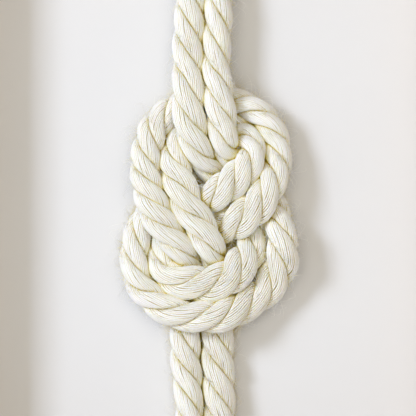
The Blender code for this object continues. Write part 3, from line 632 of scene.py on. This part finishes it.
def strand_outline(inset):
    """The strand's section, inset from its rim, as evenly spaced points all the way round."""
    corner = STRAND_CORNER - inset
    reach = 1.0 - STRAND_CORNER
    turn = pi / 3 - asin(STRAND_CORNER / reach)
    middle = 1.0 - STRAND_BULGE
    crown_turn = atan2(reach * sin(turn), reach * cos(turn) - middle)
    crown = hypot(reach * cos(turn) - middle, reach * sin(turn)) + corner
    apex = STRAND_CORNER / sin(pi / 3)
    left = (reach * cos(turn), reach * sin(turn))
    right = (left[0], -left[1])
    outline = np.array(
        arc((middle, 0.0), crown, -crown_turn, crown_turn, CROWN_POINTS)
        + arc(left, corner, crown_turn, 5 * pi / 6, SIDE_POINTS)
        + arc((apex, 0.0), corner, 5 * pi / 6, 7 * pi / 6, APEX_POINTS)
        + arc(right, corner, 7 * pi / 6, 2 * pi - crown_turn, SIDE_POINTS)
    )
    steps = np.linalg.norm(np.diff(outline, axis=0), axis=1)
    share = np.concatenate([[0.0], np.cumsum(steps)]) / steps.sum()
    return outline, share


def outline_point(outline, share, turns):
    """The points at these turns round the outline: away from the rope's axis, and across."""
    turns = (np.asarray(turns) + START_SHARE) % 1.0
    return np.interp(turns, share, outline[:, 0]), np.interp(turns, share, outline[:, 1])


class Tubes:
    """Closed tubes gathered into one mesh, with painted groove and flank shade, a tone and two maps."""

    def __init__(self):
        self.points = []
        self.faces = []
        self.groove_shade = []
        self.flank_shade = []
        self.tone = []
        self.yarn_map = []
        self.bake_map = []
        self.count = 0
        self.rows = 0

    def add(self, path, wide, deep, outwards, groove_shade, tone, sides, seam_shade=1.0):
        """A tube along path with an oval section, deep along outwards and wide beside it."""
        along = unit(np.gradient(path, axis=0))
        sideways = unit(np.cross(outwards, along))
        outwards = np.cross(along, sideways)
        angles = np.arange(sides) * 2 * pi / sides
        side = np.cos(angles)[None, :, None] * (wide[:, None] * sideways)[:, None, :]
        rise = np.sin(angles)[None, :, None] * (deep[:, None] * outwards)[:, None, :]
        rings = len(path)
        self.points.append((path[:, None, :] + side + rise).reshape(-1, 3))
        self.groove_shade.append(np.repeat(groove_shade, sides))
        # Painted shade on each tube's flanks and inner side, none where it faces outwards
        self.flank_shade.append(np.tile(seam_shade * np.clip(1 - np.sin(angles), 0.0, 1.0), rings))
        self.tone.append(np.full(rings * sides, tone))
        self.add_faces(rings, sides)
        steps = np.linalg.norm(np.diff(path, axis=0), axis=1)
        run = np.concatenate([[0.0], np.cumsum(steps)]) / MM
        self.add_maps(run, sides)
        self.count += rings * sides

    def add_faces(self, rings, sides):
        ring = np.arange(rings - 1)[:, None] * sides + self.count
        index = np.arange(sides)[None]
        following = (index + 1) % sides
        corners = (ring + index, ring + following, ring + sides + following, ring + sides + index)
        self.faces += np.stack(corners, -1).reshape(-1, 4).tolist()
        last = self.count + (rings - 1) * sides
        self.faces.append([self.count + number for number in reversed(range(sides))])
        self.faces.append([last + number for number in range(sides)])

    def add_maps(self, run, sides):
        """The yarn's own map, in turns around and mm along, and a map in rows for a bake."""
        rings = len(run)
        around = np.broadcast_to(np.arange(sides) / sides, (rings - 1, sides))
        low = np.broadcast_to(run[:-1, None], around.shape)
        high = np.broadcast_to(run[1:, None], around.shape)
        self.yarn_map += quad_corners(around, 1 / sides, low, high)
        in_row = ceil((rings - 1) / BAKE_ROWS)
        number = np.arange(rings - 1)
        start = np.broadcast_to((number % in_row / in_row)[:, None], around.shape)
        row = np.broadcast_to((self.rows + number // in_row)[:, None], around.shape)
        up = row + BAKE_MARGIN + around * (1 - 2 * BAKE_MARGIN)
        step = (1 - 2 * BAKE_MARGIN) / sides
        corners = quad_corners(up, step, BAKE_END * start, BAKE_END * (start + 1 / in_row))
        self.bake_map += [(across, height) for height, across in corners]
        self.rows += BAKE_ROWS
        self.add_cap_maps(sides)

    def add_cap_maps(self, sides):
        """Both end faces on both maps: round on the yarn's own, in the row's last bit for a bake."""
        wide = BAKE_CAP_WIDTH * (1 - BAKE_END)
        middle = (1 + BAKE_END) / 2
        for _end in range(2):
            for number in range(sides):
                angle = 2 * pi * number / sides
                x = cos(angle)
                y = cos(angle + pi / 2)
                self.yarn_map.append((0.5 + 0.5 * x, 0.5 + 0.5 * y))
                self.bake_map.append((middle + wide * x, self.rows - 0.5 + BAKE_CAP_HEIGHT * y))

    def mesh(self, name, material):
        mesh = bpy.data.meshes.new(name)
        mesh.from_pydata(np.concatenate(self.points).tolist(), [], self.faces)
        mesh.shade_smooth()
        for label, values in (("groove_shade", self.groove_shade), ("flank_shade", self.flank_shade), ("tone", self.tone)):
            attribute = mesh.attributes.new(label, "FLOAT", "POINT")
            attribute.data.foreach_set("value", np.concatenate(values).astype("float32"))
        yarn = mesh.uv_layers.new(name="yarn")
        yarn.uv.foreach_set("vector", np.array(self.yarn_map, dtype="float32").ravel())
        bake = mesh.uv_layers.new(name="OFBake")
        places = np.array(self.bake_map, dtype="float32")
        places[:, 1] /= self.rows
        bake.uv.foreach_set("vector", places.ravel())
        mesh.materials.append(material)
        return mesh


def quad_corners(around, step, low, high):
    """Each quad's four corners on a map, as one list."""
    after = around + step
    corners = ((around, low), (after, low), (after, high), (around, high))
    return np.stack([np.stack(corner, -1) for corner in corners], 2).reshape(-1, 2).tolist()


def add_piece(name, mesh, node):
    piece = bpy.data.objects.new(name, mesh)
    bpy.context.scene.collection.objects.link(piece)
    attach(piece, "frame")
    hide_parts(node)
    return piece


def lay_turns(run, marks):
    """The rope's lay in turns since its first mark: a third of a turn from mark to mark."""
    before = marks[0] - LAY_STEP * np.arange(LAY_EXTRA, 0, -1)
    after = marks[-1] + LAY_STEP * np.arange(1, LAY_EXTRA + 1)
    places = np.concatenate([before, marks, after])
    turns = (np.arange(len(places)) - LAY_EXTRA) / STRANDS
    padded = np.pad(np.interp(run, places, turns), LAY_EASE, mode="reflect", reflect_type="odd")
    width = 2 * LAY_EASE + 1
    return np.convolve(padded, np.ones(width) / width, mode="valid")


class Rope:
    """One rope's sections, and where a point of a strand's section lies in space."""

    def __init__(self, route, sign, marks):
        rings, self.run = evenly_spaced(smooth_route(whole_route(route, sign)))
        self.centres, self.across, self.up, self.wide, self.deep = rope_sections(rings)
        self.lay = lay_turns(self.run / MM, marks)
        self.turn = -5 * pi / 6 - 2 * pi * self.lay

    def place(self, strand, out, across):
        """Points along the rope, from a strand's own section."""
        turn = self.turn + 2 * pi * strand / STRANDS
        x = out * np.cos(turn) - across * np.sin(turn)
        y = out * np.sin(turn) + across * np.cos(turn)
        offset = (x * self.wide)[:, None] * self.across + (y * self.deep)[:, None] * self.up
        return self.centres + offset, np.hypot(x, y)


def lay_yarns(tubes, rope, strand, random):
    """A strand's yarns, side by side round its outline and slowly twisted along it."""
    run = rope.run
    middle, _radius = rope.place(strand, STRAND_MIDDLE, 0.0)
    inset = YARN_RADIUS / (ROPE_DIAMETER / 2)
    outline, share = strand_outline(inset)
    twist = YARN_TURN * rope.lay
    for yarn in range(YARNS):
        turns = (yarn + random.uniform(-YARN_SHIFT, YARN_SHIFT)) / YARNS + twist
        turns += wander(random, run, *TURN_WAVES)
        raised = wander(random, run, *RAISE_WAVES)
        out, across = outline_point(outline, share, turns)
        out = STRAND_MIDDLE + (out - STRAND_MIDDLE) * (1 + raised)
        path, radius = rope.place(strand, out, across * (1 + raised))
        # Painted groove shade on yarns that lie deep in the lay
        groove_shade = np.clip((GROOVE_TOP - radius) / GROOVE_DEPTH, 0.0, 1.0)
        size = YARN_RADIUS * (1 + wander(random, run, *SIZE_WAVES))
        tubes.add(path, size, size, path - middle, groove_shade, random.uniform(0, 1), YARN_SIDES)


def fill_strand(tubes, rope, strand):
    """A core that closes the strand behind its yarns, dark with painted groove shade."""
    middle, _radius = rope.place(strand, STRAND_MIDDLE, 0.0)
    outside, _radius = rope.place(strand, STRAND_MIDDLE + OUTWARD_STEP, 0.0)
    size = np.full(len(rope.run), CORE_RADIUS)
    groove_shade = np.full(len(size), CORE_GROOVE_SHADE)
    tubes.add(middle, size, size, outside - middle, groove_shade, 0.0, CORE_SIDES)


def is_shut_in(place, rope, index, other):
    """Whether another stretch of either rope passes close by this place at rope's ring index."""
    away = np.abs(rope.run - rope.run[index]) > HAIR_OWN_RUN
    centres = np.concatenate([rope.centres[away], other.centres])
    return np.linalg.norm(centres - place, axis=1).min() < HAIR_CLEARANCE


def add_hairs(tubes, rope, other, random):
    """Loose fibres that stand off the strands' crowns, and not into the crevices."""
    count = len(rope.run)
    outline, share = strand_outline(0.0)
    for _hair in range(HAIRS):
        start = random.integers(HAIR_ENDS[0], count - HAIR_ENDS[1])
        strand = random.integers(STRANDS)
        out, across = outline_point(outline, share, random.uniform(-HAIR_SPREAD, HAIR_SPREAD))
        path, _radius = rope.place(strand, out, across)
        middle, _radius = rope.place(strand, STRAND_MIDDLE, 0.0)
        root = path[start]
        outwards = unit(path[start] - middle[start])
        along = unit(rope.centres[start + 1] - rope.centres[start]) * random.choice([-1.0, 1.0])
        beside = np.cross(outwards, along)
        length = random.uniform(*HAIR_LENGTHS) * MM
        lift = random.uniform(*HAIR_LIFTS)
        sway = np.clip(random.normal(0.0, HAIR_SWAY), -1.0, 1.0)
        part = np.linspace(0.0, 1.0, HAIR_POINTS)[:, None]
        reach = along * part + outwards * lift * np.sin(part * pi * random.uniform(*HAIR_CURLS))
        hair = root - HAIR_ROOT * outwards + length * (reach + beside * sway * part**2)
        if hair[:, 1].max() > PANEL_Y or is_shut_in(hair[-1], rope, start, other):
            continue
        size = np.linspace(HAIR_RADIUS, HAIR_TAPER * HAIR_RADIUS, HAIR_POINTS)
        facing = np.repeat(outwards[None], HAIR_POINTS, 0)
        tubes.add(hair, size, size, facing, np.zeros(HAIR_POINTS), 1.0, HAIR_SIDES, 0.0)


def make_rope(side, rope, other, seed, material):
    """The three strands and the loose fibres that stand for one rope of the pair."""
    random = np.random.default_rng(seed)
    node = "rope_" + side
    for strand in range(STRANDS):
        tubes = Tubes()
        lay_yarns(tubes, rope, strand, random)
        fill_strand(tubes, rope, strand)
        name = f"{node}_strand_{strand + 1}"
        add_piece(name, tubes.mesh(name, material), node)
    fuzz = Tubes()
    add_hairs(fuzz, rope, other, random)
    add_piece(node + "_fuzz", fuzz.mesh(node + "_fuzz", material), node)


def paint_node(name, material):
    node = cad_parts[name]
    for index in range(len(node.data.materials)):
        node.data.materials[index] = material
    if not node.data.materials:
        node.data.materials.append(material)


def paint_nodes():
    upright = wood_material("oak_upright", 2)
    level = wood_material("oak_level", 0)
    brass = metal_material("satin_brass", BRASS_LIGHT, BRASS_DARK, BRASS_ROUGHNESS)
    zinc = metal_material("zinc_steel", ZINC_LIGHT, ZINC_DARK, ZINC_ROUGHNESS)
    rubber = rubber_material()
    looks = {
        "rail_top": level,
        "rail_bottom": level,
        "rail_left": upright,
        "rail_right": upright,
        "knot_panel": paint_material(),
        "backing_board": hardboard_material(),
    }
    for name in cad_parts:
        if name.startswith(("turn_button", "button_screw")):
            looks[name] = brass
        elif name.startswith(("corner_nail", "hanger")):
            looks[name] = zinc
        elif name.startswith("wall_bumper"):
            looks[name] = rubber
    for name, material in looks.items():
        paint_node(name, material)


# Stage, light and camera
def photo_place(across, down):
    """The point in the knot's plane that a pixel of the photograph shows."""
    return (across - KNOT_PIXEL[0]) * PIXEL, CENTRE_Z + (KNOT_PIXEL[1] - down) * PIXEL


def make_camera():
    x, z = photo_place(PHOTO_SIZE / 2, PHOTO_SIZE / 2)
    data = bpy.data.cameras.new("camera")
    data.sensor_width = SENSOR_WIDTH
    data.lens = SENSOR_WIDTH * CAMERA_DISTANCE / (PHOTO_SIZE * PIXEL)
    data.clip_start = CAMERA_NEAR
    data.clip_end = CAMERA_FAR
    camera = bpy.data.objects.new("camera", data)
    camera.location = (x, -CAMERA_DISTANCE, z)
    camera.rotation_euler = (radians(90), 0.0, 0.0)
    bpy.context.scene.collection.objects.link(camera)
    bpy.context.scene.camera = camera


def make_lamp(name, way, distance, size, power, colour):
    """A square soft lamp that faces the board's middle from far off along way."""
    data = bpy.data.lights.new(name, "AREA")
    data.shape = "SQUARE"
    data.size = size
    data.energy = power
    data.color = colour
    lamp = bpy.data.objects.new(name, data)
    way = Vector(way).normalized()
    lamp.location = Vector((0.0, 0.0, CENTRE_Z)) + distance * way
    lamp.rotation_euler = way.to_track_quat("Z", "Y").to_euler()
    lamp.visible_camera = False
    bpy.context.scene.collection.objects.link(lamp)


def seen_directly(tree):
    """1 for what the camera, or a gloss or glass, shows of the room."""
    rays = tree.nodes.new("ShaderNodeLightPath").outputs
    mirrored = math_node(tree, "MAXIMUM", rays["Is Glossy Ray"], rays["Is Transmission Ray"])
    return math_node(tree, "MAXIMUM", rays["Is Camera Ray"], mirrored)


def make_world():
    """A dim warm room that lights the board, and a pale one that shows behind it."""
    world = bpy.data.worlds.new("room")
    world.use_nodes = True
    tree = world.node_tree
    room = tree.nodes["Background"]
    room.inputs["Color"].default_value = (*WORLD_COLOUR, 1.0)
    room.inputs["Strength"].default_value = WORLD_STRENGTH
    pale = add_node(tree, "ShaderNodeBackground")
    pale.inputs["Color"].default_value = (*BACKDROP_COLOUR, 1.0)
    mix = tree.nodes.new("ShaderNodeMixShader")
    link(tree, seen_directly(tree), mix.inputs[0])
    link(tree, room.outputs[0], mix.inputs[1])
    link(tree, pale.outputs[0], mix.inputs[2])
    link(tree, mix.outputs[0], tree.nodes["World Output"].inputs["Surface"])
    bpy.context.scene.world = world


def make_floor():
    """A pale floor that keeps the shadow and fades into the backdrop."""
    mesh = bpy.data.meshes.new("floor")
    corners = [(x * FLOOR_REACH, y * FLOOR_REACH, 0) for x, y in ((-1, -1), (1, -1), (1, 1), (-1, 1))]
    mesh.from_pydata(corners, [], [(0, 1, 2, 3)])
    material, tree, shader = new_material("pale_floor")
    clouds = noise(tree, object_place(tree), FLOOR_CLOUDS)
    colour = mix_colour(tree, clouds, *FLOOR_COLOURS)
    link(tree, colour, shader.inputs["Base Color"])
    shader.inputs["Roughness"].default_value = FLOOR_ROUGHNESS
    length = add_node(tree, "ShaderNodeVectorMath", operation="LENGTH")
    link(tree, object_place(tree), length.inputs[0])
    share = math_node(tree, "MULTIPLY", length.outputs["Value"], 1 / FLOOR_REACH)
    away = ramp(tree, share, *FLOOR_FADE)
    pale = add_node(tree, "ShaderNodeEmission")
    pale.inputs["Color"].default_value = (*BACKDROP_COLOUR, 1.0)
    mix = tree.nodes.new("ShaderNodeMixShader")
    link(tree, math_node(tree, "MULTIPLY", seen_directly(tree), away), mix.inputs[0])
    link(tree, shader.outputs[0], mix.inputs[1])
    link(tree, pale.outputs[0], mix.inputs[2])
    link(tree, mix.outputs[0], tree.nodes["Material Output"].inputs["Surface"])
    mesh.materials.append(material)
    floor = bpy.data.objects.new("floor", mesh)
    floor.location = (0.0, 0.0, -FLOOR_DROP)
    bpy.context.scene.collection.objects.link(floor)


bpy.context.scene.view_settings.view_transform = "Standard"
make_camera()
window_way = (-SHADOW_ACROSS, -1.0, SHADOW_DOWN)
make_lamp("window", window_way, LAMP_DISTANCE, LAMP_SIZE, LAMP_POWER, LAMP_COLOUR)
make_lamp("fill", FILL_WAY, FILL_DISTANCE, FILL_SIZE, FILL_POWER, FILL_COLOUR)
make_lamp("back", BACK_WAY, FILL_DISTANCE, FILL_SIZE, BACK_POWER, BACK_COLOUR)
make_world()
make_floor()
cotton = cotton_material()
left_rope = Rope(LEFT_ROUTE, -1, LEFT_MARKS)
right_rope = Rope(RIGHT_ROUTE, 1, RIGHT_MARKS)
make_rope("left", left_rope, right_rope, LEFT_SEED, cotton)
make_rope("right", right_rope, left_rope, RIGHT_SEED, cotton)
paint_nodes()
